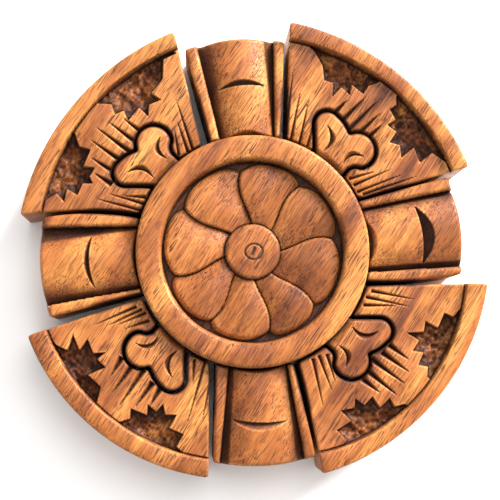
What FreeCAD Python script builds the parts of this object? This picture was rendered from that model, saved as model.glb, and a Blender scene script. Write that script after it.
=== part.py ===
"""Carved wooden disc puzzle: a medallion with four keys, four arms and four quarters.

The disc lies flat with its carved face up, its centre on the Z axis and its underside at z = 0.
+X runs along the east arm. All sizes are millimetres.
"""
import FreeCAD
import Part
import math
import os

import Sketcher

V = FreeCAD.Vector

# alias -> value, for the sizes that drive the whole puzzle
SIZES = {
    "hub_radius": 31.6,
    "hub_height": 26.0,
    "dish_radius": 24.9,
    "dish_depth": 5.0,
    "flower_radius": 23.0,
    "flower_height": 1.6,
    "button_radius": 7.6,
    "button_height": 3.4,
    "key_height": 23.0,
    "key_kerf": 0.9,
    "hub_kerf": 0.8,
    "arm_gap": 0.3,
    "arm_height": 22.4,
    "panel_rise": 1.2,
    "panel_inset": 3.0,
    "tongue_width": 8.6,
    "tongue_height": 5.6,
    "tongue_end": 30.0,
    "tongue_play": 0.2,
    "lower_mortise": 4.5,
    "upper_mortise": 12.0,
    "rim_height": 24.8,
    "field_height": 22.4,
}

# Half widths of each arm, left and right of its axis when looking outwards: at the hub, at the
# outer end, and how far the side bows out between them. The arms were sawn by hand, and each
# reaches a little less or more than the others.
ARMS = {
    "arm_east": {"turn": 0, "level": "upper", "reach": 57.4,
                 "left": (11.4, 16.3, 0.0), "right": (10.4, 10.6, 0.8)},
    "arm_north": {"turn": 90, "level": "lower", "reach": 58.7,
                  "left": (8.9, 14.0, 0.0), "right": (10.2, 13.5, 0.0)},
    "arm_west": {"turn": 180, "level": "upper", "reach": 57.6,
                 "left": (8.7, 13.4, 0.0), "right": (11.5, 13.9, 1.1)},
    "arm_south": {"turn": 270, "level": "lower", "reach": 57.9,
                  "left": (8.5, 12.6, 0.0), "right": (12.5, 15.3, 0.0)},
}

# Each quarter as if it lay between +X and +Y: how far its two sides stand off those axes at the
# hub and at the rim, how far the side bows out, the angle of the key that it fits round, and the
# rim's outer and inner radius beside its first side, on its diagonal and beside its second side.
QUARTERS = {
    "quarter_northeast": {"turn": 0, "key": 43.6, "x_side": (12.3, 18.4, 0.0), "y_side": (11.9, 15.3, 0.0),
                          "rim": (63.5, 63.2, 63.8), "field": (58.9, 59.1, 59.1)},
    "quarter_northwest": {"turn": 90, "key": 41.9, "x_side": (11.5, 16.5, 0.0), "y_side": (13.1, 14.6, 1.2),
                          "rim": (63.8, 62.9, 63.5), "field": (59.5, 58.9, 58.3)},
    "quarter_southwest": {"turn": 180, "key": 41.4, "x_side": (10.1, 17.8, 0.0), "y_side": (14.1, 16.8, 0.0),
                          "rim": (64.6, 63.8, 61.9), "field": (59.5, 58.8, 57.2)},
    "quarter_southeast": {"turn": 270, "key": 41.7, "x_side": (10.0, 13.7, 0.4), "y_side": (11.7, 13.7, 0.0),
                          "rim": (62.7, 63.7, 64.5), "field": (57.6, 59.5, 59.0)},
}
FIELD_ANGLES = (17.0, 45.0, 73.0)       # where the three inner radii of a rim are given

doc = FreeCAD.newDocument("carved_disc_puzzle")
sheet = doc.addObject("Spreadsheet::Sheet", "Sizes")
for row, (alias, value) in enumerate(SIZES.items(), start=1):
    sheet.set("A%d" % row, alias)
    sheet.set("B%d" % row, str(value))
    sheet.setAlias("B%d" % row, alias)
doc.recompute()


def size(alias):
    """The value that the sheet holds under an alias."""
    return float(sheet.get(alias))


def cell(alias):
    """An expression that reads one cell of the sheet."""
    return "Sizes." + alias


def new_body(name, turn=0):
    """An empty body, turned about the disc's axis."""
    body = doc.addObject("PartDesign::Body", name)
    body.Label = name
    body.Placement = FreeCAD.Placement(V(0, 0, 0), FreeCAD.Rotation(V(0, 0, 1), turn))
    return body


def new_sketch(body, name, height=None, plane="XY_Plane"):
    """A sketch on one of the body's own planes, raised by an expression."""
    support = [feature for feature in body.Origin.OriginFeatures if feature.Role == plane][0]
    sketch = body.newObject("Sketcher::SketchObject", name)
    sketch.AttachmentSupport = (support, [""])
    sketch.MapMode = "FlatFace"
    if height is not None:
        sketch.setExpression("AttachmentOffset.Base.z", height)
    return sketch


def add_circle(sketch, radius):
    """A circle on the disc's axis, its radius bound to the sheet."""
    index = sketch.addGeometry(Part.Circle(V(0, 0, 0), V(0, 0, 1), size(radius)), False)
    sketch.addConstraint(Sketcher.Constraint("Coincident", index, 3, -1, 1))
    bound = sketch.addConstraint(Sketcher.Constraint("Radius", index, size(radius)))
    sketch.renameConstraint(bound, radius)
    sketch.setExpression("Constraints." + radius, cell(radius))


def add_outline(sketch, steps):
    """A closed outline. Each step is a point, or a pair: a point passed on an arc, and its end."""
    points = [step[-1] if isinstance(step, tuple) else step for step in steps]
    edges = []
    for number, step in enumerate(steps):
        start = points[number - 1]
        if isinstance(step, tuple):
            edges.append(Part.Arc(start, step[0], step[1]))
        else:
            edges.append(Part.LineSegment(start, step))
    sketch.addGeometry(edges, False)


def pad(body, name, sketch, length):
    """Wood added upwards from a sketch."""
    feature = body.newObject("PartDesign::Pad", name)
    feature.Profile = sketch
    feature.setExpression("Length", length)
    return feature


def pocket(body, name, sketch, length=None):
    """Wood cut away below a sketch, right through if no length is given."""
    feature = body.newObject("PartDesign::Pocket", name)
    feature.Profile = sketch
    if length is None:
        feature.Type = "ThroughAll"
    else:
        feature.setExpression("Length", length)
    return feature


def key_outline(angle, grow):
    """The outline of a two-lobed key at an angle, or of its socket if it is grown.

    Each corner is (across, outwards): across is clockwise, outwards is from the disc's axis.
    """
    outwards = V(math.cos(math.radians(angle)), math.sin(math.radians(angle)), 0)
    across = V(outwards.y, -outwards.x, 0)

    def at(u, v):
        return across * u + outwards * v

    def on_lobe(centre, radius, degrees):
        u = centre[0] + (radius + grow) * math.cos(math.radians(degrees))
        v = centre[1] + (radius + grow) * math.sin(math.radians(degrees))
        return at(u, v)

    small, small_radius = (-8.1, 39.8), 3.3
    large, large_radius = (2.9, 39.9), 4.65
    root = 28.0
    return [
        at(-5.1 - grow, root),
        at(-5.1 - grow, 31.9 - 0.4 * grow),
        on_lobe(small, small_radius, 223),
        (on_lobe(small, small_radius, 152), on_lobe(small, small_radius, 80)),
        (at(-4.3 + 0.4 * grow, 42.6 + 0.9 * grow), at(-1.5 - 0.45 * grow, 41.3 + 1.28 * grow)),
        (on_lobe(large, large_radius, 70), on_lobe(large, large_radius, -40)),
        (at(4.6 + 0.85 * grow, 35.6 - 0.5 * grow), at(4.1 + grow, 33.8 - 0.3 * grow)),
        at(4.1 + grow, root),
    ]


def polar(radius, angle):
    """The point at a radius and an angle from the disc's centre."""
    return V(radius * math.cos(math.radians(angle)), radius * math.sin(math.radians(angle)), 0)


def side(inner, outer, axis_point, bow):
    """A side from one point to another that bows away from the arm's axis."""
    middle = (inner + outer) * 0.5 + axis_point * bow
    return (middle, outer) if bow else outer


def make_medallion():
    """The hub: raised ring, dish with the flower and button, four keys, two crossing mortises."""
    body = new_body("medallion")
    disc = new_sketch(body, "medallion_disc")
    add_circle(disc, "hub_radius")
    pad(body, "medallion_hub", disc, cell("hub_height"))

    for name, quarter in QUARTERS.items():
        outline = new_sketch(body, "key_outline_" + name)
        add_outline(outline, key_outline(quarter["turn"] + quarter["key"], 0.0))
        pad(body, "key_" + name, outline, cell("key_height"))

    dish = new_sketch(body, "medallion_dish", cell("hub_height"))
    add_circle(dish, "dish_radius")
    pocket(body, "medallion_hollow", dish, cell("dish_depth"))

    dish_floor = cell("hub_height") + " - " + cell("dish_depth")
    flower = new_sketch(body, "flower_disc", dish_floor)
    add_circle(flower, "flower_radius")
    pad(body, "medallion_flower", flower, cell("flower_height"))
    button = new_sketch(body, "button_disc", dish_floor)
    add_circle(button, "button_radius")
    pad(body, "medallion_button", button, cell("button_height"))

    half_width = size("tongue_width") + size("tongue_play") * 1.5
    for level, plane in (("lower", "XZ_Plane"), ("upper", "YZ_Plane")):
        bottom = size(level + "_mortise")
        top = bottom + size("tongue_height") + 2 * size("tongue_play")
        mouth = new_sketch(body, level + "_mortise_mouth", plane=plane)
        add_outline(mouth, [V(-half_width, bottom, 0), V(half_width, bottom, 0),
                            V(half_width, top, 0), V(-half_width, top, 0)])
        cut = pocket(body, level + "_mortise_cut", mouth)
        cut.Midplane = True
    return body


def make_arm(name, arm):
    """A flared arm with a raised panel, and a tongue that runs right through the hub."""
    body = new_body(name, arm["turn"])
    inner_radius = size("hub_radius") + size("arm_gap")
    left_in, left_out, left_bow = arm["left"]
    right_in, right_out, right_bow = arm["right"]

    def outline(inset, inner, outer):
        def on(radius, half_width):
            return V(math.sqrt(radius ** 2 - half_width ** 2), half_width, 0)
        right_start = on(inner, -(right_in - inset))
        right_end = on(outer, -(right_out - inset))
        left_end = on(outer, left_out - inset)
        left_start = on(inner, left_in - inset)
        return [
            (V(inner, 0, 0), right_start),
            side(right_start, right_end, V(0, -1, 0), right_bow),
            (V(outer, 0, 0), left_end),
            side(left_end, left_start, V(0, 1, 0), left_bow),
        ]

    wedge = new_sketch(body, name + "_outline")
    add_outline(wedge, outline(0.0, inner_radius, arm["reach"]))
    pad(body, name + "_block", wedge, cell("arm_height"))
    panel = new_sketch(body, name + "_panel_outline", cell("arm_height"))
    inset = size("panel_inset")
    add_outline(panel, outline(inset, inner_radius, arm["reach"] - inset / 2))
    pad(body, name + "_panel", panel, cell("panel_rise"))

    play = size("tongue_play")
    tongue = new_sketch(body, name + "_tongue_outline",
                        cell(arm["level"] + "_mortise") + " + " + cell("tongue_play"))
    near = inner_radius + 1.0
    far = -size("tongue_end")
    add_outline(tongue, [V(far, play / 2, 0), V(near, play / 2, 0),
                         V(near, size("tongue_width"), 0), V(far, size("tongue_width"), 0)])
    pad(body, name + "_tongue", tongue, cell("tongue_height"))
    return body


def make_quarter(name, quarter):
    """A quarter of the rim with a sunken field and a socket round one key."""
    body = new_body(name, quarter["turn"])
    inner = size("hub_radius") + size("hub_kerf")
    rim_start, rim_middle, rim_end = quarter["rim"]

    def off_x(radius, offset):
        return V(math.sqrt(radius ** 2 - offset ** 2), offset, 0)

    def off_y(radius, offset):
        return V(offset, math.sqrt(radius ** 2 - offset ** 2), 0)

    x_in, x_out, x_bow = quarter["x_side"]
    y_in, y_out, y_bow = quarter["y_side"]
    outline = new_sketch(body, name + "_outline")
    add_outline(outline, [
        (polar(inner, 45.0), off_x(inner, x_in)),
        side(off_x(inner, x_in), off_x(rim_start, x_out), V(0, 1, 0), x_bow),
        (polar(rim_middle, 45.0), off_y(rim_end, y_out)),
        side(off_y(rim_end, y_out), off_y(inner, y_in), V(1, 0, 0), y_bow),
    ])
    pad(body, name + "_block", outline, cell("rim_height"))

    field = new_sketch(body, name + "_field", cell("rim_height"))
    edge_points = [polar(radius, angle) for radius, angle in zip(quarter["field"], FIELD_ANGLES)]
    field.addGeometry(Part.Circle(*edge_points), False)
    pocket(body, name + "_sunk_field", field, cell("rim_height") + " - " + cell("field_height"))

    socket = new_sketch(body, name + "_socket_outline", cell("rim_height"))
    add_outline(socket, key_outline(quarter["key"], size("key_kerf")))
    pocket(body, name + "_socket", socket)
    return body


nodes = [make_medallion()]
nodes += [make_arm(name, arm) for name, arm in ARMS.items()]
nodes += [make_quarter(name, quarter) for name, quarter in QUARTERS.items()]
doc.recompute()

for item in doc.Objects:
    if "Invalid" in item.State or "Error" in item.State:
        raise RuntimeError("%s did not compute: %s" % (item.Label, item.State))
for node in nodes:
    if node.Shape.isNull() or not node.Shape.isValid() or len(node.Shape.Solids) != 1:
        raise RuntimeError("%s is not one valid solid" % node.Label)

os.makedirs("parts", exist_ok=True)
for node in nodes:
    node.Shape.exportStep("parts/%s.step" % node.Label)
    print("%-20s %8.1f mm3  box %s" % (node.Label, node.Shape.Volume, node.Shape.BoundBox))
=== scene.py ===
"""Carved wooden disc puzzle: every CAD piece gets a hand-carved copy of itself in figured wood.

Each carved piece keeps the outline of its CAD node. Its top is a fine mesh lifted by a height
rule for that kind of piece, and the same rules say where stain and painted shade darken it.
Outlines and heights are worked out in millimetres, and turned into metres when a mesh is made.
"""
import math

import bmesh
import bpy
import numpy as np
from mathutils import Matrix, Vector
from mathutils.geometry import delaunay_2d_cdt
from mathutils.kdtree import KDTree


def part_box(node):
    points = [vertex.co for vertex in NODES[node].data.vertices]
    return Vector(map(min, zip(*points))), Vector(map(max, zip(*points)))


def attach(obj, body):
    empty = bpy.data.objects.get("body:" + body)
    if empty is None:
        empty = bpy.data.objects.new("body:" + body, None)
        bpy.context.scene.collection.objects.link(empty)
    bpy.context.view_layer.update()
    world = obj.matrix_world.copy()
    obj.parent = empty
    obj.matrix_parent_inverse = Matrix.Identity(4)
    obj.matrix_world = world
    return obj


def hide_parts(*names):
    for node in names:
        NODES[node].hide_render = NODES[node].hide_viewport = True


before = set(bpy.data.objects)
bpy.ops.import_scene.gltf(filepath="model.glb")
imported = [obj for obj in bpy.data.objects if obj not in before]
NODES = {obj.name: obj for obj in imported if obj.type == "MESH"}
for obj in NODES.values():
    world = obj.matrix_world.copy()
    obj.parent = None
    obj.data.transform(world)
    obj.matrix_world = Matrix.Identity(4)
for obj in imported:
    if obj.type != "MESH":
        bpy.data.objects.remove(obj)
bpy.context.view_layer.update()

MM = 0.001
SPACING = 0.27          # distance between the points of a carved surface
SECTION_HEIGHT = 20.5   # where the CAD outlines are taken
HUB_WALL = 19.0         # plain sawn wall below these heights, carved piece above
ARM_WALL = 18.0
QUARTER_WALL = 17.0
FOOT_BEVEL = 0.5
NOISE_CELLS = 64        # the noise repeats after this many bumps
NOISE_SHIFT = (17.3, 9.1)
CORNER_TURN = 25.0      # degrees: a sharper turn in an outline is a corner
SOFT_REACH = 3          # points on each side of a corner that are softened, in SOFT_PASSES rounds
SOFT_PASSES = 12
STRAIGHT = 2e-4         # a point this near to the line past it is not part of the shape
LONGER = 2.2            # a stretch this many times longer than its neighbour is a straight one
SHARP_EDGE = 50.0       # degrees: a sharper edge is shaded as an edge
EDGE_ROWS = (0.07, 0.2, 0.42)   # rows of points along a carved top's edge, by their distance in

HUB_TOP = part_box("medallion")[1].z / MM
ARM_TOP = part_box("arm_east")[1].z / MM
RIM_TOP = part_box("quarter_northeast")[1].z / MM
HUB_RADIUS = 31.6
RING_MIDDLE = 28.2
DISH_RADIUS = 24.9
DISH_DEPTH = 5.2
PETAL_RADIUS = 24.1
BUTTON_RADIUS = 7.5
BUTTON_DEPTH = 2.0
FIELD_TOP = 22.5
KEY_TOP = 23.0
POCKET_DEPTH = 3.9
POCKET_END = 64.0       # past the rim, where the star pockets' outlines are closed
TOP_CUT = (2.1, 2.0)    # width and depth of the V-cuts over a key
SIDE_CUT = (1.35, 1.2)  # and of those beside it
CUT_RUN_IN = 0.8        # how far a V-cut starts before its given start
TONGUE_PLAY = 0.2
TONGUE_ROOT = 2.0       # how far past the hub a tongue is made, to join its arm
MORTISE_END = 8.4       # how far past the hub a mortise is cut

# Degrees from +X: where the left edge of each petal meets the button, and where each key points.
PETAL_EDGES = (2.3, 47.3, 91.6, 140.6, 190.0, 231.3, 274.3, 311.8)
KEY_TURNS = (43.6, 131.9, 221.4, 311.7)
FIELD_SWING = 28.0      # degrees from a quarter's middle to where its field is measured again

# What the wood material reads from each point: stain with painted shade, worn edges with painted
# highlights, and painted shade in hollows.
SHADES = ("stain_and_shade", "wear_and_highlight", "shaded_hollow")
BEND_REACH = 0.5        # a point's bend is its height over those this far away
WORN_AND_LIT_BEND = 0.16        # a bend that gets the full wear and painted highlight
SHADED_HOLLOW_BEND = 0.22      # and one that gets the full painted shade
RIM_ZONE = 44.0, 48.0   # between these radii, painted seam shade gives way to wear and painted highlights on the rim edges


# ---------------------------------------------------------------- small tools

def smooth(low, high, value):
    """0 below low, 1 above high, and a smooth climb between them."""
    t = np.clip((value - low) / (high - low), 0.0, 1.0)
    return t * t * (3.0 - 2.0 * t)


def rounding(distance, radius):
    """How far a rounded edge falls below its surface, at a distance in from the edge."""
    inward = radius - np.clip(distance, 0.0, radius)
    return radius - np.sqrt(np.maximum(radius ** 2 - inward ** 2, 0.0))


def noise(x, y, scale, seed):
    """Smooth random field between -1 and 1, its bumps about one scale apart."""
    table = np.random.RandomState(seed).uniform(-1.0, 1.0, (NOISE_CELLS, NOISE_CELLS))
    gx, gy = x / scale + NOISE_SHIFT[0], y / scale + NOISE_SHIFT[1]
    ix, iy = np.floor(gx).astype(int), np.floor(gy).astype(int)
    tx, ty = gx - ix, gy - iy
    tx, ty = tx * tx * (3 - 2 * tx), ty * ty * (3 - 2 * ty)
    ix, iy, jx, jy = (cell % NOISE_CELLS for cell in (ix, iy, ix + 1, iy + 1))
    a, b, c, d = table[ix, iy], table[jx, iy], table[ix, jy], table[jx, jy]
    return (a * (1 - tx) + b * tx) * (1 - ty) + (c * (1 - tx) + d * tx) * ty


def line_distance(x, y, ax, ay, bx, by):
    """Distance from each point to a line, and how far along it from 0 to 1."""
    dx, dy = bx - ax, by - ay
    t = np.clip(((x - ax) * dx + (y - ay) * dy) / (dx * dx + dy * dy), 0.0, 1.0)
    return np.hypot(x - ax - t * dx, y - ay - t * dy), t


def loop_distance(x, y, loop):
    """Distance from each point to a closed outline."""
    best = np.full(x.shape, 1e9)
    ends = np.roll(loop, -1, axis=0)
    for (ax, ay), (bx, by) in zip(loop, ends):
        distance, _ = line_distance(x, y, ax, ay, bx, by)
        best = np.minimum(best, distance)
    return best


def outline_distance(x, y, loop):
    """Distance from each point to a finely divided outline, by way of its nearest outline point."""
    tree = KDTree(len(loop))
    for number, (px, py) in enumerate(loop):
        tree.insert((px, py, 0.0), number)
    tree.balance()
    nearest = np.array([tree.find((px, py, 0.0))[1] for px, py in zip(x, y)])
    here = loop[nearest]
    best = np.full(x.shape, 1e9)
    for other in (loop[nearest - 1], loop[(nearest + 1) % len(loop)]):
        distance, _ = line_distance(x, y, here[:, 0], here[:, 1], other[:, 0], other[:, 1])
        best = np.minimum(best, distance)
    return best


def inside(x, y, loop):
    """True for each point inside a closed outline."""
    result = np.zeros(x.shape, bool)
    for (ax, ay), (bx, by) in zip(loop, np.roll(loop, -1, axis=0)):
        if ay == by:
            continue
        crosses = (ay > y) != (by > y)
        result ^= crosses & (x < (bx - ax) * (y - ay) / (by - ay) + ax)
    return result


# ---------------------------------------------------------------- carving cuts

def v_cut(x, y, line, width, depth):
    """A V-groove, square and widest at the line's start, that runs out to a point at its end."""
    ax, ay, bx, by = line
    length = math.hypot(bx - ax, by - ay)
    ux, uy = (bx - ax) / length, (by - ay) / length
    along = (x - ax) * ux + (y - ay) * uy + CUT_RUN_IN
    distance, t = line_distance(x, y, ax - CUT_RUN_IN * ux, ay - CUT_RUN_IN * uy, bx, by)
    half = np.maximum(width / 2 * (1.0 - t) ** 0.7, 0.02)
    groove = np.clip(1.0 - distance / half, 0.0, 1.0) * smooth(-0.15, 0.15, along)
    return depth * (1.0 - t) ** 0.5 * groove


def crescent(x, y, start, end, sag, thick, depth):
    """A crescent gouge: a steep stop cut along its inner arc, and a slope up to its outer arc."""
    ax, ay = start
    bx, by = end
    length = math.hypot(bx - ax, by - ay)
    ux, uy = (bx - ax) / length, (by - ay) / length
    along = ((x - ax) * ux + (y - ay) * uy) / (length / 2) - 1.0
    across = -(x - ax) * uy + (y - ay) * ux
    bulge = np.maximum(1.0 - along ** 2, 0.0)
    inner = sag * bulge
    outer = inner + thick * bulge + 1e-4
    slope = np.clip((outer - across) / (outer - inner), 0.0, 1.0) ** 0.7
    wall = smooth(-0.32, 0.0, across - inner)
    return depth * bulge ** 0.5 * slope * wall * (np.abs(along) < 1.0)


def pocket(x, y, outline):
    """How deep a pocket lies inside an outline, from 0 to 1: a steep wall, then a bowl."""
    loop = np.array(outline, float)
    inwards = np.where(inside(x, y, loop), loop_distance(x, y, loop), 0.0)
    return 0.55 * smooth(0.0, 0.45, inwards) + 0.45 * smooth(0.0, 4.0, inwards)


# ---------------------------------------------------------------- outlines from the CAD

def section(node, height):
    """The CAD node's outline at a height, in millimetres, without its flat-wall points."""
    mesh = bmesh.new()
    mesh.from_mesh(NODES[node].data)
    bmesh.ops.remove_doubles(mesh, verts=mesh.verts, dist=1e-6)
    cut = bmesh.ops.bisect_plane(
        mesh, geom=mesh.verts[:] + mesh.edges[:] + mesh.faces[:],
        plane_co=(0, 0, height * MM), plane_no=(0, 0, 1), dist=1e-7)
    edges = [item for item in cut["geom_cut"] if isinstance(item, bmesh.types.BMEdge)]
    neighbours = {}
    for edge in edges:
        a, b = edge.verts
        neighbours.setdefault(a, []).append(b)
        neighbours.setdefault(b, []).append(a)
    loops = []
    while neighbours:
        start = min(neighbours, key=lambda vert: (round(vert.co.x, 7), round(vert.co.y, 7)))
        loop, last, here = [start], None, start
        while True:
            onward = [vert for vert in neighbours[here] if vert is not last]
            last, here = here, onward[0]
            if here is start:
                break
            loop.append(here)
        for vert in loop:
            del neighbours[vert]
        loops.append(np.array([(vert.co.x, vert.co.y) for vert in loop]) / MM)
    mesh.free()
    loop = max(loops, key=len)
    shifted = np.roll(loop, -1, axis=0)
    area = np.sum(loop[:, 0] * shifted[:, 1] - shifted[:, 0] * loop[:, 1]) / 2
    return drop_flat(loop if area > 0 else loop[::-1])


def drop_flat(loop):
    """The outline without the points that lie on a straight stretch."""
    kept = []
    for here in loop:
        while len(kept) > 1 and off_line(kept[-2], kept[-1], here) < STRAIGHT:
            kept.pop()
        kept.append(here)
    while off_line(kept[-2], kept[-1], kept[0]) < STRAIGHT:
        kept.pop()
    while off_line(kept[-1], kept[0], kept[1]) < STRAIGHT:
        kept.pop(0)
    return np.array(kept)


def off_line(a, b, c):
    """How far the middle one of three points lies off the line through the outer two."""
    span = math.hypot(*(c - a))
    return abs((c[0] - a[0]) * (b[1] - a[1]) - (c[1] - a[1]) * (b[0] - a[0])) / span


def turn_at(loop, i):
    """The outline's turn at a point, in degrees."""
    before = loop[i] - loop[i - 1]
    after = loop[(i + 1) % len(loop)] - loop[i]
    cross = before[0] * after[1] - before[1] * after[0]
    return abs(math.degrees(math.atan2(cross, float(before @ after))))


def hermite(start, t0, end, t1, s):
    """A point part of the way along the curve that leaves along t0 and arrives along t1."""
    return ((2 * s ** 3 - 3 * s ** 2 + 1) * start + (s ** 3 - 2 * s ** 2 + s) * t0
            + (3 * s ** 2 - 2 * s ** 3) * end + (s ** 3 - s ** 2) * t1)


def curved_outline(loop):
    """The outline resampled evenly, its arcs made smooth again and its corners softened."""
    count = len(loop)
    steps = np.roll(loop, -1, axis=0) - loop
    lengths = np.hypot(steps[:, 0], steps[:, 1])
    units = steps / lengths[:, None]
    corner = [turn_at(loop, i) > CORNER_TURN for i in range(count)]

    def tangent(i, own):
        """The outline's direction at a point, as the stretch called own leaves or reaches it."""
        other = i - 1 if own == i else i % count
        if corner[i % count]:
            return units[own]
        if lengths[own] > LONGER * lengths[other]:
            return units[own]
        if lengths[other] > LONGER * lengths[own]:
            return units[other]
        mean = units[own] + units[other]
        return mean / math.hypot(*mean)

    points, near_corner = [], []
    for i in range(count):
        after = (i + 1) % count
        start, end = loop[i], loop[after]
        t0 = tangent(i, i) * lengths[i]
        t1 = tangent(after, i) * lengths[i]
        pieces = max(1, round(lengths[i] / SPACING))
        for k in range(pieces):
            points.append(hermite(start, t0, end, t1, k / pieces))
            from_start = k if corner[i] else math.inf
            to_end = pieces - k if corner[after] else math.inf
            near_corner.append(min(from_start, to_end))
    points = np.array(points)
    soft = (np.array(near_corner) <= SOFT_REACH)[:, None]
    for _ in range(SOFT_PASSES):
        mean = (np.roll(points, 1, axis=0) + 2 * points + np.roll(points, -1, axis=0)) / 4
        points = np.where(soft, mean, points)
    return points


def inset(loop, distance):
    """The outline moved inwards."""
    along = np.roll(loop, -1, axis=0) - np.roll(loop, 1, axis=0)
    along /= np.hypot(along[:, 0], along[:, 1])[:, None]
    return loop + np.stack([-along[:, 1], along[:, 0]], axis=1) * distance


def bevel_ring(loop, inwards):
    """The outline moved inwards point for point, with nothing folded over at its corners."""
    ring = inset(loop, inwards)
    good = np.flatnonzero(outline_distance(ring[:, 0], ring[:, 1], loop) > inwards * 0.93)
    count = len(loop)
    apart = np.abs(np.arange(count)[:, None] - good[None, :])
    apart = np.minimum(apart, count - apart)
    return ring[good[np.argmin(apart, axis=1)]]


# ---------------------------------------------------------------- height rules

def carve_medallion(x, y):
    """Ring, sunken dish, swirling petals and button, and the four keys with their gouges."""
    r = np.hypot(x, y)
    angle = np.degrees(np.arctan2(y, x))
    stain_and_shade = np.zeros(r.shape)

    ring = HUB_TOP - 0.35 * ((r - RING_MIDDLE) / 3.3) ** 2
    ring -= rounding(r - DISH_RADIUS, 1.0) + rounding(HUB_RADIUS - r, 0.9)

    # Petals: each one's left edge lies over the next, and the edge curves as the petals swirl.
    along = np.clip((r - BUTTON_RADIUS) / (PETAL_RADIUS - BUTTON_RADIUS), 0.0, 1.0)
    swirl = -6.0 * (1.0 - along) + 8.0 * np.sin(math.pi * along)
    floor = HUB_TOP - DISH_DEPTH
    petals = np.full(r.shape, floor)
    for number, edge in enumerate(PETAL_EDGES):
        width = (edge - PETAL_EDGES[number - 1]) % 360.0
        behind = (edge + swirl - angle) % 360.0
        mine = behind < width
        share = 1.0 - behind / width
        top_side = behind * math.pi / 180.0 * r
        low_side = (width - behind) * math.pi / 180.0 * r
        reach = PETAL_RADIUS - 2.3 * np.abs(2 * share - 1) ** 3.2
        bulge = np.sin(math.pi * share) * np.sin(math.pi * along) ** 0.5
        height = floor + 0.9 + 1.3 * share + 1.0 * bulge + 0.4 * np.sin(math.pi * along * 0.9)
        height -= rounding(top_side, 0.7) + 0.3 * np.exp(-(low_side / 0.4) ** 2)
        height -= 0.5 * (1 - along) ** 2
        height = np.where(r < reach, height - rounding(reach - r, 1.3), floor)
        petals = np.where(mine, height, petals)
        # Painted shade: a dark line in the crease under each petal's lower edge, and in the dish
        # between the petals' tips and the ring.
        line = np.exp(-(low_side / 0.34) ** 2) * smooth(0.0, 3.0, r - BUTTON_RADIUS + 2)
        gap = 0.85 * smooth(-0.15, 0.3, r - reach)
        stain_and_shade = np.where(mine, np.maximum(line, gap), stain_and_shade)
    petals = np.maximum(petals, floor)

    # Button, with a small ring and a comma cut in it.
    button = HUB_TOP - BUTTON_DEPTH - 0.35 * (r / BUTTON_RADIUS) ** 2
    button -= rounding(BUTTON_RADIUS - r, 1.0)
    pith = np.exp(-((np.hypot(x - 0.3, (y + 0.1) * 1.15) - 2.4) / 0.26) ** 2)
    comma = np.exp(-(line_distance(x, y, 0.5, 0.9, -0.1, -0.7)[0] / 0.36) ** 2)
    button -= 0.25 * np.maximum(pith, comma)
    # Painted shade: the petals on the east side are darker, as the light falls on them.
    shade = 0.10 + 0.10 * np.cos(np.radians(angle + 20.0))
    stain_and_shade = np.where(r < BUTTON_RADIUS, 1.3 * np.maximum(pith, comma), np.maximum(stain_and_shade, shade))
    # Painted shade in the groove round the button.
    stain_and_shade = np.maximum(stain_and_shade, 0.8 * np.exp(-((r - BUTTON_RADIUS - 0.1) / 0.38) ** 2))
    dish = np.where(r < BUTTON_RADIUS, np.maximum(button, floor), petals)
    dish_wall = smooth(DISH_RADIUS - 0.3, DISH_RADIUS, r)
    height = dish * (1 - dish_wall) + ring * dish_wall

    # Keys: a low crown between two gouges.
    key = np.full(r.shape, KEY_TOP)
    key_shade = np.zeros(r.shape)
    for turn in KEY_TURNS:
        u, v = across_and_out(x, y, turn)
        near = (np.abs(u) < 16) & (v > 20)
        crown = 0.5 * np.exp(-((u + 1.5) / 7.0) ** 2) * smooth(31, 40, v)
        cuts = crescent(u, v, (-7.9, 39.6), (-3.9, 33.4), 1.5, 1.3, 1.3)
        cuts = np.maximum(cuts, crescent(u, v, (2.3, 34.4), (5.4, 39.8), 1.3, 1.2, 1.2))
        root = 1.1 * (1.0 - smooth(HUB_RADIUS, HUB_RADIUS + 2.2, r))
        key = np.where(near, KEY_TOP - 0.4 + crown - cuts - root, key)
        # Painted shade in the gouges, and at the key's root, where the higher ring shades it.
        key_shade = np.where(near, np.maximum(np.clip(cuts, 0, 0.75), root * 0.85), key_shade)
    step = smooth(HUB_RADIUS - 0.1, HUB_RADIUS + 0.2, r)
    height = height * (1 - step) + key * step
    stain_and_shade *= smooth(DISH_RADIUS, DISH_RADIUS - 0.6, r)
    stain_and_shade = np.where(r > HUB_RADIUS, key_shade, stain_and_shade)
    return height, np.clip(stain_and_shade, 0, 1)


def across_and_out(x, y, turn):
    """Coordinates about a direction from the disc's centre: clockwise across it, and outwards."""
    c, s = math.cos(math.radians(turn)), math.sin(math.radians(turn))
    return x * s - y * c, x * c + y * s


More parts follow.
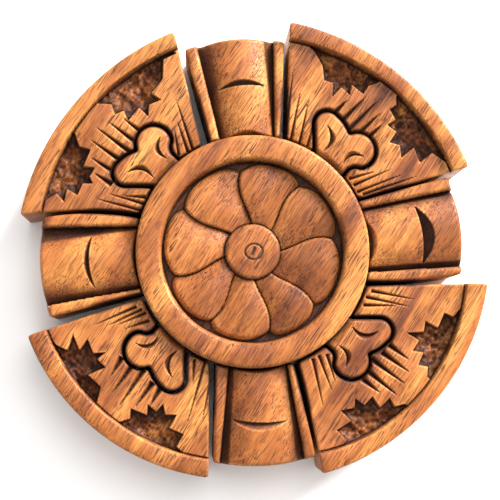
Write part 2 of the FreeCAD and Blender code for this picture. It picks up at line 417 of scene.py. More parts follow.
# For each arm: where the four carved lines across it lie near the hub and near the end (the left
# bead's edge, the panel's left and right edges, the right bead's edge); its middle gouge (start,
# end, sag, thickness, depth and how dark its painted shade is); and the hollow at the hub, which
# is painted with shade (left, right, reach).
ARMS = {
    "arm_east": {"turn": 0, "lines": ((-9.6, -12.6), (-8.6, -11.2), (6.6, 6.7), (8.0, 8.4)),
                 "gouge": ((-8.8, 45.4), (7.0, 46.2), 1.0, 3.1, 2.4, 4.0),
                 "shaded_hollow": (-6.6, 6.2, 2.5)},
    "arm_north": {"turn": 90, "lines": ((-6.5, -10.2), (-4.6, -6.8), (8.0, 7.9), (8.7, 10.4)),
                  "gouge": ((-5.6, 45.0), (7.0, 45.2), 0.7, 1.4, 1.4, 2.5),
                  "shaded_hollow": (-4.6, 6.6, 1.7)},
    "arm_west": {"turn": 180, "lines": ((-7.6, -9.9), (-6.2, -7.7), (8.4, 7.2), (9.6, 11.0)),
                 "gouge": ((-6.4, 43.4), (7.6, 43.3), 1.2, 1.3, 1.6, 1.2),
                 "shaded_hollow": (-6.4, 7.8, 1.3)},
    "arm_south": {"turn": 270, "lines": ((-7.0, -9.4), (-6.2, -6.9), (7.7, 10.8), (9.2, 13.3)),
                  "gouge": ((-5.6, 46.3), (9.2, 44.8), 0.8, 2.0, 1.2, 0.8),
                  "shaded_hollow": (-6.0, 8.0, 1.4)},
}


def carve_arm(name):
    """A barrel-topped panel between two channels, darkened by stain and painted shade, and two
    beads, with a gouge across it.
    """
    arm = ARMS[name]
    start, end, sag, thick, depth, gouge_shade = arm["gouge"]

    def rule(x, y):
        u, v = across_and_out(x, y, arm["turn"])
        share = (v - 32.0) / 23.0
        bead_l, panel_l, panel_r, bead_r = (a + (b - a) * share for a, b in arm["lines"])
        t = np.clip((u - panel_l) / (panel_r - panel_l), 0.0, 1.0)
        lengthways = -0.9 * smooth(46.0, 60.0, v) - 0.25 * smooth(40.0, 32.0, v)
        panel = ARM_TOP - 2.2 + 2.2 * (1.0 - np.abs(2 * t - 1) ** 2.3) + lengthways

        def channel(outer, edge):
            s = np.clip((u - outer) / (edge - outer), 0.0, 1.0)
            depth_here = 1.2 + 1.2 * np.clip(np.abs(edge - outer) / 2.5, 0.0, 1.0)
            return ARM_TOP - 2.2 + lengthways - depth_here * (1.0 - s ** 1.2)
        bead = ARM_TOP - 0.9 + lengthways * 0.8
        left = bead - rounding(bead_l - u, 1.1)
        right = bead - rounding(u - bead_r, 1.1)
        height = np.where(u < bead_l, left, channel(bead_l, panel_l))
        height = np.where(u > panel_l, panel, height)
        height = np.where(u > panel_r, channel(bead_r, panel_r), height)
        height = np.where(u > bead_r, right, height)

        cut = crescent(u, v, start, end, sag, thick, depth)
        low, high, reach = arm["shaded_hollow"]
        middle, half = (low + high) / 2, (high - low) / 2
        width = reach * np.maximum(1 - ((u - middle) / half) ** 2, 0.0) + 1e-3
        shaded_hollow = 1.5 * np.clip(1 - (np.hypot(x, y) - HUB_RADIUS) / width, 0.0, 1.0)
        shaded_hollow *= np.abs(u - middle) < half
        # Stain and painted shade in the channels, fading up the panel's slope; painted shade in the
        # gouge and in the hollow at the hub, under the ring.
        in_left = smooth(panel_l + 2.2, bead_l + 0.6, u) * smooth(bead_l - 0.2, bead_l + 0.15, u)
        in_right = smooth(panel_r - 0.5, panel_r + 0.3, u) * smooth(bead_r + 0.9, bead_r - 0.5, u)
        stain_and_shade = np.maximum(in_left, in_right) * 0.95
        stain_and_shade = np.maximum(stain_and_shade, np.clip(cut * gouge_shade, 0, 0.95))
        stain_and_shade = np.maximum(stain_and_shade, np.clip(shaded_hollow * 1.3, 0, 1))
        return height - cut - shaded_hollow, np.clip(stain_and_shade, 0, 1)
    return rule


# For each quarter: the rim's inner radius at FIELD_SWING to the right of its middle, at its middle
# and at FIELD_SWING to the left; the jagged edge of its two star pockets, from the rim's end to the
# leaf between them; and the V-cuts over the key and beside it, each from its wide end to its tip.
QUARTERS = {
    "quarter_northeast": {
        "turn": 45,
        "field": (58.9, 59.1, 59.1),
        "left_star": [(-26.5, 53.2), (-22.5, 53.0), (-18.5, 51.4), (-15.6, 48.6), (-13.2, 49.6),
                      (-10.8, 46.2), (-10.6, 50.2), (-7.4, 50.1), (-8.8, 52.6), (-4.8, 52.7),
                      (-5.2, 55.5), (-3.6, 58.2)],
        "right_star": [(28, 51.2), (24.5, 53.0), (20, 52.6), (19.2, 48.2), (15.2, 50.4),
                       (14.4, 45.8), (11.8, 48.4), (9, 47), (8.6, 50.6), (5.4, 50.4), (6.2, 53),
                       (3.2, 54.2), (3.8, 56.4), (2.2, 58.2)],
        "top_cuts": [(-7.6, 44.0, -7.2, 48.6), (-4.6, 43.6, -3.9, 52.6), (-1.6, 42.6, -0.7, 54),
                     (1.2, 44.2, 2, 51.6), (3.9, 44.8, 4.4, 49.6)],
        "side_cuts": [(-7.6, 32.5, -10.6, 38.5), (-9.6, 31.3, -15.4, 42),
                      (-12.2, 30.8, -18.8, 42.5), (-14.4, 31.2, -24, 45.5),
                      (7.6, 33, 11.4, 38.6), (9.6, 32.5, 14.5, 42.5), (11.6, 31.8, 17.6, 43),
                      (13.2, 32.2, 21.2, 45.5)],
    },
    "quarter_northwest": {
        "turn": 135,
        "field": (59.5, 58.9, 58.3),
        "left_star": [(-29, 50.6), (-25.5, 51.6), (-22.6, 50.6), (-23, 47.4), (-19.8, 49.2),
                      (-19.2, 46), (-15.8, 47), (-14, 44.9), (-13, 46.9), (-10.1, 47.4),
                      (-12, 50), (-7.2, 51.4), (-8.6, 54.4), (-6.6, 57.8)],
        "right_star": [(28, 51), (24.4, 52.6), (20.2, 49.2), (15.3, 49), (15.6, 45.8),
                       (12.4, 47.4), (9.6, 45.4), (9.8, 49), (5, 48.8), (6.4, 51.6), (4, 52.8),
                       (5.6, 55.4), (3.4, 58.2)],
        "top_cuts": [(-10.9, 41.8, -11.6, 46.6), (-7.8, 42.3, -9, 50.2),
                     (-4.2, 42.5, -5.4, 53.2), (-0.8, 42.0, -1.8, 54.4), (2.2, 42.9, 1.5, 52.6),
                     (5.3, 43.6, 4.9, 50.6)],
        "side_cuts": [(-8, 32.4, -11.6, 37), (-9.4, 31.4, -13.6, 40.4), (-11.4, 31, -16.8, 42),
                      (7.6, 33, 11.8, 38), (9.8, 31.8, 14, 39), (11.2, 31.3, 18.4, 43.2)],
    },
    "quarter_southwest": {
        "turn": 225,
        "field": (59.5, 58.8, 57.2),
        "left_star": [(-27, 51.8), (-22.5, 53.4), (-18.5, 53.2), (-17.8, 49.4), (-13.8, 50.6),
                      (-13, 46.6), (-10.5, 48.6), (-8.2, 46.8), (-8, 49.6), (-5, 49.6),
                      (-6.6, 52), (-2.2, 53.4), (-3.8, 55.8), (-2.2, 58.3)],
        "right_star": [(28.6, 52.6), (24, 53.4), (21, 52.6), (22.6, 48.2), (18.4, 50.4),
                       (18.8, 46.6), (15, 48.6), (12.4, 46.2), (13, 49.2), (9.8, 49.4),
                       (12.0, 54), (7.4, 54.2), (5.6, 58.0)],
        "top_cuts": [(-5, 45.0, -5.8, 49.6), (-2.4, 45.2, -3, 52.4), (1.6, 44.2, 0.4, 55),
                     (4.8, 45.2, 4.1, 53.6), (8.2, 45.4, 7.4, 50.4)],
        "side_cuts": [(-7.4, 33, -11, 38), (-9.8, 31.6, -16.6, 47), (-12.4, 31.2, -19.2, 43.8),
                      (9.6, 33, 13, 38.6), (11.6, 32, 15, 39), (13, 32, 17, 41),
                      (14.6, 32.4, 20, 43.5)],
    },
    "quarter_southeast": {
        "turn": 315,
        "field": (57.6, 59.5, 59.0),
        "left_star": [(-30, 50.6), (-26, 53.0), (-22, 53.0), (-21.2, 50.4), (-17, 51.6),
                      (-16.2, 47.8), (-13.6, 49.4), (-10.2, 45.8), (-10.8, 50), (-7.4, 50.4),
                      (-9, 53), (-5.4, 54), (-6.8, 56.4), (-4.6, 58.0)],
        "right_star": [(29.4, 50.6), (25.4, 52.2), (22.6, 52.2), (22.2, 48.4), (17.8, 49.8),
                       (17.4, 45.8), (14.4, 48.2), (12.2, 46.6), (12, 49.8), (8.8, 50),
                       (9.8, 53.6), (6, 53.8), (7, 56.4), (4.6, 58.0)],
        "top_cuts": [(-4.8, 45.4, -5.1, 51.2), (-2, 45.2, -2.6, 53.6), (1.2, 44.2, 0.6, 54.8),
                     (4.4, 45.0, 4.3, 55.2), (7, 45.2, 6.8, 51)],
        "side_cuts": [(-9, 33, -14.4, 39.6), (-11, 32.2, -16.4, 42.4),
                      (-13.2, 32.2, -18.8, 42.2), (8.6, 34, 12.6, 40), (10.2, 32.6, 15, 41),
                      (12, 31.8, 19.8, 41.8)],
    },
}


def carve_quarter(name):
    """A raised rim, two stippled star pockets behind it, and V-cuts fanning from the key."""
    quarter = QUARTERS[name]
    seed = quarter["turn"]

    def rule(x, y):
        u, v = across_and_out(x, y, quarter["turn"])
        r = np.hypot(x, y)
        right, middle, left = quarter["field"]
        swing = -np.degrees(np.arctan2(u, v)) / FIELD_SWING
        inner = middle + (left - right) / 2 * swing + ((left + right) / 2 - middle) * swing ** 2
        inward = inner - r
        field = FIELD_TOP + 0.2 * noise(x, y, 9.0, seed)
        field += 0.35 * np.exp(-(u / 9.0) ** 2) * smooth(43, 52, v)
        field -= 0.9 * smooth(37.0, 31.0, r)
        rim = RIM_TOP - 0.25 * ((inward + 2.2) / 2.3) ** 2 + 0.08 * noise(x, y, 5.0, seed + 3)
        rim -= rounding(-inward, 0.4)
        on_rim = smooth(0.2, 0.0, inward)

        # A small groove at the rim's foot, painted with shade.
        corner = 0.5 * np.exp(-((inward - 0.25) / 0.22) ** 2)
        stars = np.zeros(r.shape)
        for side in ("left_star", "right_star"):
            edge = quarter[side]
            outline = edge + [(edge[-1][0], POCKET_END), (edge[0][0] * 1.05, POCKET_END)]
            stars = np.maximum(stars, pocket(u, v, outline))
        stars *= smooth(-0.1, 0.1, inward)
        stipple = 0.5 * noise(x, y, 0.95, seed + 7) + 0.6 * noise(x, y, 2.6, seed + 11)
        floor_depth = POCKET_DEPTH - 1.0 * smooth(0.8, 0.1, inward) + stipple
        cuts = np.zeros(r.shape)
        for line in quarter["top_cuts"]:
            cuts = np.maximum(cuts, v_cut(u, v, line, *TOP_CUT))
        ribs = np.zeros(r.shape)
        for line in quarter["side_cuts"]:
            ribs = np.maximum(ribs, v_cut(u, v, line, *SIDE_CUT))
        carved = np.maximum(cuts, ribs)
        height = field - corner - np.maximum(stars * floor_depth, carved)
        height = height * (1 - on_rim) + rim * on_rim
        mottle = 0.5 * noise(x, y, 1.1, seed + 5) + 0.35 * noise(x, y, 3.0, seed + 6)
        # Painted shade on the pocket floors, darkest near their walls and teeth, with mottled tone.
        floor_shade_and_mottle = 0.95 - 0.6 * smooth(0.5, 1.0, stars) + 0.75 * mottle
        grime = 0.3 * smooth(0.1, 0.9, noise(x, y, 3.2, seed + 8)) * smooth(33.0, 44.0, r)
        stain_and_shade = np.clip(stars * 1.6, 0, 1) * floor_shade_and_mottle
        # Painted shade in the V-cuts.
        stain_and_shade = np.maximum(stain_and_shade, np.clip(carved * 0.85 - 0.1, 0, 0.9))
        stain_and_shade = np.maximum(stain_and_shade, grime)
        stain_and_shade = np.maximum(stain_and_shade, 1.6 * corner) * (1 - on_rim)
        return height, np.clip(stain_and_shade, 0, 1)
    return rule


# ---------------------------------------------------------------- making a carved piece

def to_object(mesh, name):
    """A finished bmesh as an object in the scene."""
    data = bpy.data.meshes.new(name)
    mesh.to_mesh(data)
    mesh.free()
    made = bpy.data.objects.new(name, data)
    bpy.context.scene.collection.objects.link(made)
    return made


def sides_of(triangle):
    """A triangle's three sides, each as the pair of its ends."""
    a, b, c = triangle
    return frozenset((a, b)), frozenset((b, c)), frozenset((c, a))


def fill(points, loop):
    """Triangles over points that lie in an outline and start with the outline's own points.

    A triangle is outside if it is reached from beyond the hull without crossing the outline.
    """
    count = len(loop)
    edges = [(i, (i + 1) % count) for i in range(count)]
    result = delaunay_2d_cdt([Vector(p) for p in points], edges, [], 0, 1e-7, True)
    flat, triangles = np.array([tuple(p) for p in result[0]]), result[2]
    # result[4] lists, for each edge made, the outline edges that it came from.
    outline = {frozenset(edge) for edge, came_from in zip(result[1], result[4]) if came_from}
    sides = {}
    for number, triangle in enumerate(triangles):
        for side in sides_of(triangle):
            sides.setdefault(side, []).append(number)
    outside = set()
    reached = [owners[0] for side, owners in sides.items()
               if len(owners) == 1 and side not in outline]
    while reached:
        number = reached.pop()
        if number in outside:
            continue
        outside.add(number)
        for side in sides_of(triangles[number]):
            if side not in outline:
                reached.extend(sides[side])
    kept = [triangle for number, triangle in enumerate(triangles) if number not in outside]
    return flat, np.array(kept)


def top_points(loop):
    """The points of a carved top: its outline, rows along the edge, and an even grid."""
    low, high = loop.min(axis=0), loop.max(axis=0)
    row = SPACING * math.sqrt(0.75)
    ys = np.arange(low[1], high[1], row)
    grid = []
    for number, y in enumerate(ys):
        xs = np.arange(low[0] + (number % 2) * SPACING / 2, high[0], SPACING)
        grid.append(np.stack([xs, np.full(len(xs), y)], axis=1))
    grid = np.concatenate(grid)
    grid = grid[inside(grid[:, 0], grid[:, 1], loop)]
    distance = outline_distance(grid[:, 0], grid[:, 1], loop)
    grid = grid[distance > EDGE_ROWS[-1] + SPACING * 0.6]
    rings = []
    for offset in EDGE_ROWS:
        ring = inset(loop, offset)
        clear = outline_distance(ring[:, 0], ring[:, 1], loop) > offset * 0.9
        rings.append(ring[clear & inside(ring[:, 0], ring[:, 1], loop)])
    return np.concatenate([loop, *rings, grid])


def carved_top(loop, rule, edge_radius, wall_top, hub_radius=0.0):
    """A carved top's flat points, their heights, its triangles, and then its SHADES.

    Inside hub_radius the rule makes its own rounded edges.
    """
    count = len(loop)
    flat, triangles = fill(top_points(loop), loop)
    used = np.zeros(len(flat), bool)
    used[triangles.ravel()] = True
    used[:count] = True
    number = np.cumsum(used) - 1
    flat, triangles = flat[used], number[triangles]

    x, y = flat[:, 0], flat[:, 1]
    plain, stain_and_shade = rule(x, y)
    distance = outline_distance(x, y, loop)
    distance[:count] = 0.0
    ripple = 0.05 * noise(x, y, 4.0, 1) + 0.02 * noise(x, y, 1.1, 2)
    beyond_hub = np.hypot(x, y) > hub_radius + 0.05
    height = plain + ripple - np.where(beyond_hub, rounding(distance, edge_radius), 0.0)
    height = np.maximum(height, wall_top + 0.1)

    around = np.zeros(len(x))
    for ax, ay in ((BEND_REACH, 0.0), (0.0, BEND_REACH), (-BEND_REACH, 0.0), (0.0, -BEND_REACH)):
        around += rule(x + ax, y + ay)[0] / 4
    bend = plain - around
    outside = smooth(*RIM_ZONE, np.hypot(x, y))
    # Wear and painted highlights: convex bends, and the outer edges of the rims, are lightened.
    wear_and_highlight = np.clip(bend / WORN_AND_LIT_BEND, 0, 1) + 0.8 * outside * smooth(0.9, 0.1, distance)
    # Painted shade along the piece's edges, where they face a gap, inside the rims.
    seam = smooth(0.8, 0.1, distance) * beyond_hub
    stain_and_shade = np.maximum(stain_and_shade, 0.95 * (1.0 - outside) * seam)
    # Painted shade in concave bends.
    shaded_hollow = np.clip(-bend / SHADED_HOLLOW_BEND, 0, 1)
    stain_and_shade = np.clip(stain_and_shade, 0, 1)
    wear_and_highlight = np.clip(wear_and_highlight, 0, 1) * (1.0 - 0.75 * stain_and_shade)
    return flat, height, triangles, stain_and_shade, wear_and_highlight, shaded_hollow


def box_mesh(name, low, high):
    """A helper box for joining a tongue or cutting a mortise."""
    mesh = bmesh.new()
    bmesh.ops.create_cube(mesh, size=1.0)
    low, high = Vector(low), Vector(high)
    for vert in mesh.verts:
        corner = [(low[k] + high[k]) / 2 + vert.co[k] * (high[k] - low[k]) for k in range(3)]
        vert.co = Vector(corner) * MM
    return to_object(mesh, name)


def sawn_base(name, loop, boxes, wall_top):
    """The plain lower part of a piece, with its tongue joined or its mortises cut."""
    mesh = bmesh.new()
    # Heights, and how far in the outline is there: a rounded foot, then a straight wall.
    levels = [(0.0, FOOT_BEVEL), (0.15 * FOOT_BEVEL, 0.5 * FOOT_BEVEL),
              (0.5 * FOOT_BEVEL, 0.15 * FOOT_BEVEL), (FOOT_BEVEL, 0.0), (wall_top, 0.0)]
    rings = []
    for height, inwards in levels:
        ring = bevel_ring(loop, inwards) if inwards else loop
        rings.append([mesh.verts.new((px * MM, py * MM, height * MM)) for px, py in ring])
    count = len(loop)
    for below, above in zip(rings, rings[1:]):
        for i in range(count):
            j = (i + 1) % count
            mesh.faces.new((below[i], below[j], above[j], above[i]))
    mesh.faces.new(rings[-1])
    foot = bevel_ring(loop, FOOT_BEVEL)
    flat, triangles = fill(foot, foot)
    under = [mesh.verts.new((px * MM, py * MM, 0.0)) for px, py in flat]
    for a, b, c in triangles:
        mesh.faces.new((under[c], under[b], under[a]))
    bmesh.ops.remove_doubles(mesh, verts=mesh.verts, dist=1e-7)
    base = to_object(mesh, name + "_base")
    for operation, low, high in boxes:
        helper = box_mesh(name + "_box", low, high)
        change = base.modifiers.new("change", "BOOLEAN")
        change.operation = operation
        change.solver = "EXACT"
        change.object = helper
        bpy.context.view_layer.update()
        graph = bpy.context.evaluated_depsgraph_get()
        result = bpy.data.meshes.new_from_object(base.evaluated_get(graph))
        base.modifiers.clear()
        base.data = result
        bpy.data.objects.remove(helper)
    return base


def seam_shade(vert):
    """Painted shade on a sawn wall or a tongue: darker near the hub, where pieces face each other.
    """
    return 0.5 * float(smooth(50.0, 42.0, math.hypot(vert.co.x, vert.co.y) / MM))


def carved_piece(name, rule, edge_radius, wall_top, boxes=(), hub_radius=0.0):
    """The carved copy of a CAD node, which it replaces."""
    loop = curved_outline(section(name, SECTION_HEIGHT))
    base = sawn_base(name, loop, boxes, wall_top)
    flat, height, triangles, *shades = carved_top(loop, rule, edge_radius, wall_top, hub_radius)
    mesh = bmesh.new()
    mesh.from_mesh(base.data)
    bpy.data.objects.remove(base)
    layers = [mesh.verts.layers.float.new(label) for label in SHADES]
    # Sawn walls get painted shade near the hub.
    for vert in mesh.verts:
        vert[layers[0]] = seam_shade(vert)
    # The flat cap goes, and the carved top and a strip from it to the wall take its place.
    caps = [face for face in mesh.faces
            if face.normal.z > 0.99
            and all(abs(vert.co.z / MM - wall_top) < 1e-4 for vert in face.verts)]
    bmesh.ops.delete(mesh, geom=caps, context="FACES_ONLY")

    verts = []
    for i in range(len(flat)):
        vert = mesh.verts.new((flat[i, 0] * MM, flat[i, 1] * MM, height[i] * MM))
        for layer, shade in zip(layers, shades):
            vert[layer] = shade[i]
        verts.append(vert)
    for a, b, c in triangles:
        mesh.faces.new((verts[a], verts[b], verts[c]))
    count = len(loop)
    foot = [mesh.verts.new((px * MM, py * MM, wall_top * MM)) for px, py in loop]
    # The strip's foot gets the same painted shade.
    for vert in foot:
        vert[layers[0]] = seam_shade(vert)
    for i in range(count):
        j = (i + 1) % count
        mesh.faces.new((foot[i], foot[j], verts[j], verts[i]))
    bmesh.ops.remove_doubles(mesh, verts=mesh.verts, dist=2e-7)
    bmesh.ops.recalc_face_normals(mesh, faces=mesh.faces)
    for face in mesh.faces:
        face.smooth = True
    for edge in mesh.edges:
        if len(edge.link_faces) == 2 and edge.calc_face_angle(0.0) > math.radians(SHARP_EDGE):
            edge.smooth = False
    piece = to_object(mesh, name + "_carved")
    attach(piece, name)
    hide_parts(name)
    return piece


# ---------------------------------------------------------------- wood

def node(tree, kind, inputs=None, **settings):
    """A new node with its settings and its inputs, which are values or other nodes' sockets."""
    made = tree.nodes.new(kind)
    for key, value in settings.items():
        setattr(made, key, value)
    for key, value in (inputs or {}).items():
        if isinstance(value, bpy.types.NodeSocket):
            tree.links.new(value, made.inputs[key])
        else:
            made.inputs[key].default_value = value
    return made


def ramp(tree, value, stops):
    """A colour ramp over (position, colour) stops."""
    made = node(tree, "ShaderNodeValToRGB", {"Fac": value})
    elements = made.color_ramp.elements
    while len(elements) < len(stops):
        elements.new(0.5)
    for element, (position, colour) in zip(elements, stops):
        element.position = position
        element.color = (*colour, 1.0)
    return made.outputs["Color"]


def mix(tree, factor, a, b, blend="MIX"):
    """One colour mixed into another."""
    made = node(tree, "ShaderNodeMix", data_type="RGBA", blend_type=blend)
    for socket, value in ((made.inputs[0], factor), (made.inputs[6], a), (made.inputs[7], b)):
        if isinstance(value, bpy.types.NodeSocket):
            tree.links.new(value, socket)
        else:
            socket.default_value = value
    return made.outputs[2]


def maths(tree, operation, a, b=0.0, clamp=False):
    """One sum on two values or sockets."""
    made = node(tree, "ShaderNodeMath", {0: a, 1: b}, operation=operation, use_clamp=clamp)
    return made.outputs[0]


def remap(tree, value, low, high, to_low, to_high):
    """A value moved from one range to another, and held inside it."""
    made = node(tree, "ShaderNodeMapRange", {"Value": value, "From Min": low, "From Max": high,
                                             "To Min": to_low, "To Max": to_high})
    return made.outputs["Result"]


GRAIN_TURN = 52.0       # the grain's direction from +X, the same on every piece


def wood(name, tone, shift):
    """Oiled orange-brown wood with long dark pores, darkened by stain and painted shade where it is
    cut and in hollows, and lightened by wear and painted highlights on its edges.
    """
    material = bpy.data.materials.new(name)
    material.use_nodes = True
    tree = material.node_tree
    tree.nodes.clear()
    place = node(tree, "ShaderNodeTexCoord").outputs["Object"]
    turned = node(tree, "ShaderNodeMapping", {
        "Vector": place, "Location": shift,
        "Rotation": (0.0, 0.0, -math.radians(GRAIN_TURN))}, vector_type="POINT").outputs["Vector"]

    def stretched(along, across):
        return node(tree, "ShaderNodeMapping", {
            "Vector": turned, "Scale": (1.0 / along, 1.0 / across, 1.0 / across)}).outputs["Vector"]

    def cloud(along, across, detail=3.0, rough=0.5, distortion=0.0):
        return node(tree, "ShaderNodeTexNoise", {
            "Vector": stretched(along * MM, across * MM), "Scale": 1.0, "Detail": detail,
            "Roughness": rough, "Distortion": distortion}).outputs["Fac"]

    figure = cloud(60.0, 9.0, 2.0, 0.5, 0.6)
    bands = cloud(90.0, 2.6, 2.0, 0.55, 0.3)
    fibre = cloud(14.0, 0.38, 4.0, 0.68)
    pores = cloud(5.0, 0.27, 1.0, 0.4)
    long_pores = cloud(10.0, 0.36, 1.0, 0.4)
    blotch = cloud(11.0, 9.0, 3.0)

    light = tuple(c * tone for c in (0.52, 0.208, 0.050))
    mid = tuple(c * tone for c in (0.355, 0.114, 0.026))
    deep = tuple(c * tone for c in (0.185, 0.050, 0.012))
    base = ramp(tree, figure, [(0.30, deep), (0.47, mid), (0.64, light)])
    stripes = ramp(tree, bands, [(0.36, (0.66, 0.58, 0.52)), (0.56, (1.05, 1.05, 1.05))])
    base = mix(tree, 0.55, base, stripes, "MULTIPLY")
    fine = ramp(tree, fibre, [(0.36, (0.62, 0.52, 0.44)), (0.6, (1.1, 1.1, 1.08))])
    base = mix(tree, 0.75, base, fine, "MULTIPLY")
    patch = ramp(tree, blotch, [(0.34, (0.76, 0.68, 0.60)), (0.62, (1.1, 1.14, 1.14))])
    base = mix(tree, 0.7, base, patch, "MULTIPLY")
    pore = ramp(tree, pores, [(0.59, (0, 0, 0)), (0.63, (1, 1, 1))])
    long_pore = ramp(tree, long_pores, [(0.62, (0, 0, 0)), (0.66, (1, 1, 1))])
    pore = maths(tree, "MAXIMUM", pore, long_pore)
    open_pores = remap(tree, cloud(16.0, 5.0, 2.0), 0.36, 0.6, 0.4, 0.95)
    base = mix(tree, maths(tree, "MULTIPLY", pore, open_pores), base, (0.055, 0.016, 0.006, 1.0))

    stain_and_shade, wear_and_highlight, shaded_hollow = (
        node(tree, "ShaderNodeAttribute", attribute_name=label).outputs["Fac"]
        for label in SHADES)
    # Stain and painted shade from cuts, creases and gaps darken the wood, and painted shade in
    # hollows adds to it.
    stain_and_shade_amount = maths(tree, "MULTIPLY", stain_and_shade, maths(tree, "ADD", blotch, 0.42), clamp=True)
    stain_and_shade_amount = maths(tree, "ADD", stain_and_shade_amount, maths(tree, "MULTIPLY", shaded_hollow, 0.45), clamp=True)
    stain_and_shade_colour = mix(tree, 1.0, base, (0.085, 0.055, 0.05, 1.0), "MULTIPLY")
    colour = mix(tree, stain_and_shade_amount, base, stain_and_shade_colour)
    # Wear and painted highlights lighten edges and convex bends.
    worn_and_lit = mix(tree, 1.0, base, (1.3, 1.6, 2.0, 1.0), "MULTIPLY")
    colour = mix(tree, maths(tree, "MULTIPLY", wear_and_highlight, 0.45), colour, worn_and_lit)

    gloss = remap(tree, fibre, 0.3, 0.7, 0.50, 0.36)
    gloss = maths(tree, "ADD", gloss, maths(tree, "MULTIPLY", stain_and_shade, 0.28))
    gloss = maths(tree, "ADD", gloss, maths(tree, "MULTIPLY", pore, 0.2), clamp=True)
    rise = maths(tree, "SUBTRACT", maths(tree, "MULTIPLY", fibre, 0.35), pore)
    bump = node(tree, "ShaderNodeBump", {
        "Strength": 0.4, "Distance": 0.00018, "Height": rise}).outputs["Normal"]
    shader = node(tree, "ShaderNodeBsdfPrincipled", {
        "Base Color": colour, "Roughness": gloss, "Normal": bump, "Specular IOR Level": 0.3})
    node(tree, "ShaderNodeOutputMaterial", {"Surface": shader.outputs["BSDF"]})
    return material


# ---------------------------------------------------------------- the puzzle

def tongue_box(name):
    """The lowest and highest corner of an arm's tongue, from the end that it has in the hub."""
    corners = np.array([vert.co for vert in NODES[name].data.vertices]) / MM
    turn = ARMS[name]["turn"]
    _, out = across_and_out(corners[:, 0], corners[:, 1], turn)
    end = corners[out < out.min() + 0.5]
    low, high = end.min(axis=0), end.max(axis=0)
    axis = 0 if turn in (0, 180) else 1
    if turn in (0, 90):
        high[axis] = HUB_RADIUS + TONGUE_ROOT
    else:
        low[axis] = -HUB_RADIUS - TONGUE_ROOT
    return low, high


def mortise(first, second, axis):
    """The box of a mortise that holds two tongues side by side."""
    low = np.minimum(first[0], second[0]) - TONGUE_PLAY
    high = np.maximum(first[1], second[1]) + TONGUE_PLAY
    low[axis], high[axis] = -HUB_RADIUS - MORTISE_END, HUB_RADIUS + MORTISE_END
    return "DIFFERENCE", low, high


tongues = {name: tongue_box(name) for name in ARMS}
mortises = [mortise(tongues["arm_east"], tongues["arm_west"], 0),
            mortise(tongues["arm_north"], tongues["arm_south"], 1)]

hub = carved_piece("medallion", carve_medallion, 1.0, HUB_WALL, mortises, HUB_RADIUS)
pieces = {"medallion": hub}
for name in ARMS:
    pieces[name] = carved_piece(name, carve_arm(name), 1.0, ARM_WALL, [("UNION", *tongues[name])])
for name in QUARTERS:
    pieces[name] = carved_piece(name, carve_quarter(name), 0.6, QUARTER_WALL)

TONES = {"medallion": 1.0, "arm_east": 0.96, "arm_north": 1.0, "arm_west": 1.03, "arm_south": 1.0,
         "quarter_northeast": 1.05, "quarter_northwest": 0.95, "quarter_southwest": 1.0,
         "quarter_southeast": 1.04}
for number, (name, piece) in enumerate(pieces.items()):
    shift = (0.013 * number, 0.007 * number, 0.0)
    piece.data.materials.append(wood("wood_" + name, TONES[name], shift))


# ---------------------------------------------------------------- floor, light and camera

def make_floor():
    """A plain pale floor under the puzzle."""
    mesh = bmesh.new()
    bmesh.ops.create_grid(mesh, x_segments=1, y_segments=1, size=1.5)
    floor = to_object(mesh, "floor")
    material = bpy.data.materials.new("floor_white")
    material.use_nodes = True
    shader = material.node_tree.nodes["Principled BSDF"]
    shader.inputs["Base Color"].default_value = (0.93, 0.93, 0.93, 1.0)
    shader.inputs["Roughness"].default_value = 0.9
    floor.data.materials.append(material)


def direction(turn, height):
    """A unit direction at an angle round from +X and an angle up from the floor."""
    t, h = math.radians(turn), math.radians(height)
    return Vector((math.cos(t) * math.cos(h), math.sin(t) * math.cos(h), math.sin(h)))


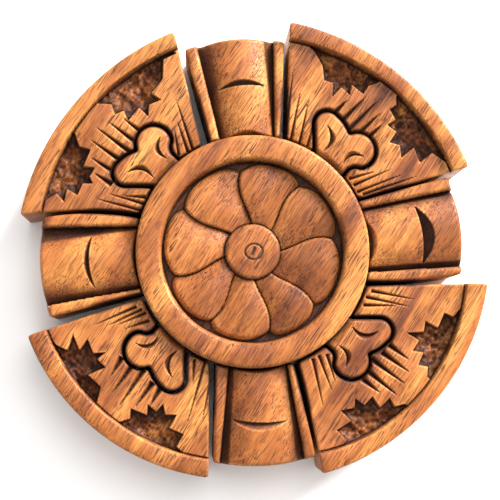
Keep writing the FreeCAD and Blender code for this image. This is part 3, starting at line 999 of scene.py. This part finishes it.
def area_light(name, turn, height, distance, width, power, colour):
    """A soft light aimed at the puzzle."""
    data = bpy.data.lights.new(name, "AREA")
    data.size = width
    data.energy = power
    data.color = colour
    light = bpy.data.objects.new(name, data)
    towards = direction(turn, height)
    light.location = towards * distance
    light.rotation_euler = towards.to_track_quat("Z", "Y").to_euler()
    bpy.context.scene.collection.objects.link(light)


# The camera, in metres and degrees, placed from the middle of the hub's top.
ROLL = 4.7              # the east arm points this far up from the picture's right
CAMERA_DISTANCE = 0.42
WIDTH_SEEN = 0.13456
LEAN_WEST, LEAN_SOUTH = 2.1, 4.3
AIM_WEST, AIM_NORTH = 0.00083, 0.00019


def make_camera():
    """The main view: nearly straight down, from a little towards the south and west."""
    right = Vector((math.cos(math.radians(ROLL)), -math.sin(math.radians(ROLL)), 0))
    up = Vector((math.sin(math.radians(ROLL)), math.cos(math.radians(ROLL)), 0))
    towards = Vector((0, 0, 1))
    towards -= right * math.tan(math.radians(LEAN_WEST)) + up * math.tan(math.radians(LEAN_SOUTH))
    towards.normalize()
    target = Vector((0, 0, HUB_TOP * MM)) - right * AIM_WEST + up * AIM_NORTH
    across = up.cross(towards).normalized()
    upright = towards.cross(across)
    data = bpy.data.cameras.new("camera")
    data.sensor_width = 36.0
    data.lens = data.sensor_width * CAMERA_DISTANCE / WIDTH_SEEN
    camera = bpy.data.objects.new("camera", data)
    turned = Matrix((across, upright, towards)).transposed()
    camera.matrix_world = Matrix.Translation(target + towards * CAMERA_DISTANCE) @ turned.to_4x4()
    bpy.context.scene.collection.objects.link(camera)
    bpy.context.scene.camera = camera


make_floor()
area_light("key", turn=42.0, height=27.0, distance=2.5, width=1.1, power=215.0,
           colour=(1.0, 0.98, 0.95))
area_light("top", turn=60.0, height=70.0, distance=2.5, width=1.2, power=26.0,
           colour=(1.0, 0.99, 0.97))
make_camera()
world = bpy.data.worlds.new("studio")
world.use_nodes = True
background = world.node_tree.nodes["Background"]
background.inputs["Color"].default_value = (1.0, 1.0, 1.0, 1.0)
background.inputs["Strength"].default_value = 0.84
bpy.context.scene.world = world
bpy.context.scene.view_settings.view_transform = "Standard"
